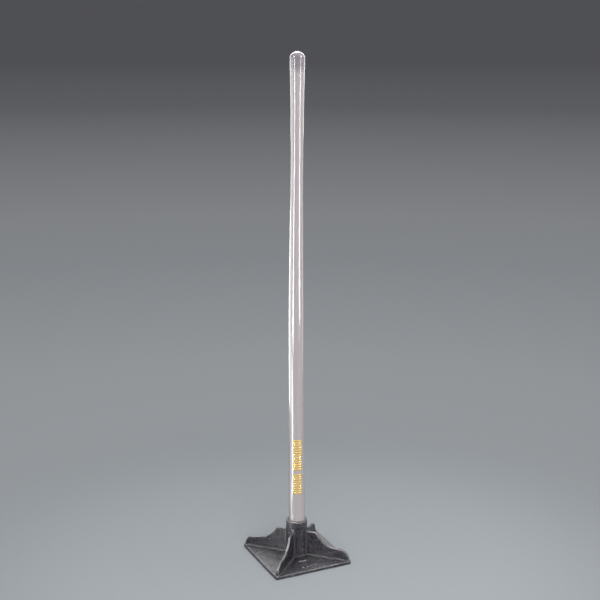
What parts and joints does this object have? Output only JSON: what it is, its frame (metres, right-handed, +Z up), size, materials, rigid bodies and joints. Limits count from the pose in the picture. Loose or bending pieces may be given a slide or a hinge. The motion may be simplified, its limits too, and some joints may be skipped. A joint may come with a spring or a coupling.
{
  "type": "hand tamper",
  "caption": "Hand tamper with a square ribbed cast-iron foot and a long straight wooden handle that a lag screw holds in its socket.",
  "frame": {"origin": "centre of the sole, the flat underside of the plate that meets the ground", "axes": "+Z up along the handle, X and Y along the sides of the square plate, the lag screw enters from +Y"},
  "size_m": [0.2032, 0.2032, 1.2332],
  "materials": {
    "head_casting": "charcoal black dipped enamel over a sand casting, satin, with bare rubbed edges",
    "handle_wood": "pale turned ash under clear gloss lacquer",
    "fastener_steel": "bright zinc plated steel"
  },
  "bodies": {
    "root": {"tamper_head": "head_casting", "handle": "handle_wood", "lag_screw": "fastener_steel", "flat_washer": "fastener_steel"}
  },
  "joints": []
}
